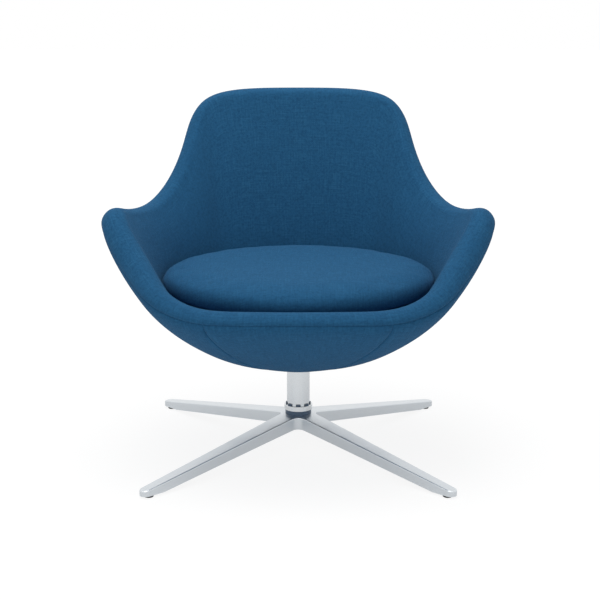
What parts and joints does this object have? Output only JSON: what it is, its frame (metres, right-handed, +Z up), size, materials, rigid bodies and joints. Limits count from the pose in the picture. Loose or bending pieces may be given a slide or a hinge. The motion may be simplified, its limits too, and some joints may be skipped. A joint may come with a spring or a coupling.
{
  "type": "swivel lounge chair",
  "caption": "Upholstered bucket lounge chair with winged arms, a loose oval seat cushion and a swivel column on a polished star base.",
  "frame": {"origin": "on the floor under the swivel axis, in the middle of the glides", "axes": "+Z up along the swivel axis, the chair faces -Y, +X to the right in the picture"},
  "size_m": [0.8286, 0.6916, 0.7677],
  "materials": {
    "cast_aluminium": "polished die casting",
    "polished_tube": "polished",
    "dark_plastic": "fine texture",
    "glide_plastic": "smooth",
    "bearing_steel": "ground",
    "zinc_steel": "zinc plated",
    "painted_plate": "powder coated",
    "bush_plastic": "moulded acetal",
    "plywood": "raw birch plywood",
    "moulded_shell": "moulded glass-filled plastic",
    "foam": "open-cell foam",
    "blue_wool": "woven wool",
    "strip_nylon": "hook-and-loop tape"
  },
  "bodies": {
    "base": {"star_base": "cast_aluminium", "base_collar": "polished_tube", "collar_insert": "dark_plastic", "column_tube": "polished_tube", "foot_plug": "zinc_steel", "hub_bolt": "zinc_steel", "hub_washer": "zinc_steel", "glide_studs": "zinc_steel", "glide_front_left": "glide_plastic", "glide_front_right": "glide_plastic", "glide_rear_left": "glide_plastic", "glide_rear_right": "glide_plastic", "lower_race": "bearing_steel", "thrust_balls": "bearing_steel", "ball_cage": "bush_plastic", "lower_bush": "bush_plastic", "upper_bush": "bush_plastic"},
    "seat": {"spindle": "bearing_steel", "upper_race": "bearing_steel", "retaining_washer": "zinc_steel", "retaining_clip": "zinc_steel", "taper_socket": "zinc_steel", "seat_plate": "painted_plate", "plate_bolts": "zinc_steel", "plate_washers": "zinc_steel", "tee_nuts": "zinc_steel", "mount_board": "plywood", "cover_dish": "dark_plastic", "dish_screws": "zinc_steel", "rigid_shell": "moulded_shell", "outer_pad": "foam", "inner_foam": "foam", "outer_cover": "blue_wool", "front_panel": "blue_wool", "inner_cover": "blue_wool", "deck_strips": "strip_nylon"},
    "cushion": {"cushion_core": "foam", "cushion_cover": "blue_wool", "cushion_base": "blue_wool", "cushion_strips": "strip_nylon"}
  },
  "joints": [
    {"name": "seat_swivel", "type": "hinge", "parent": "base", "child": "seat", "pos_m": [0, 0, 0.1], "axis": [0, 0, 1], "continuous": true},
    {"name": "cushion_lift", "type": "slide", "parent": "seat", "child": "cushion", "axis": [0, 0, 1], "range_m": [0, 0.15]}
  ]
}
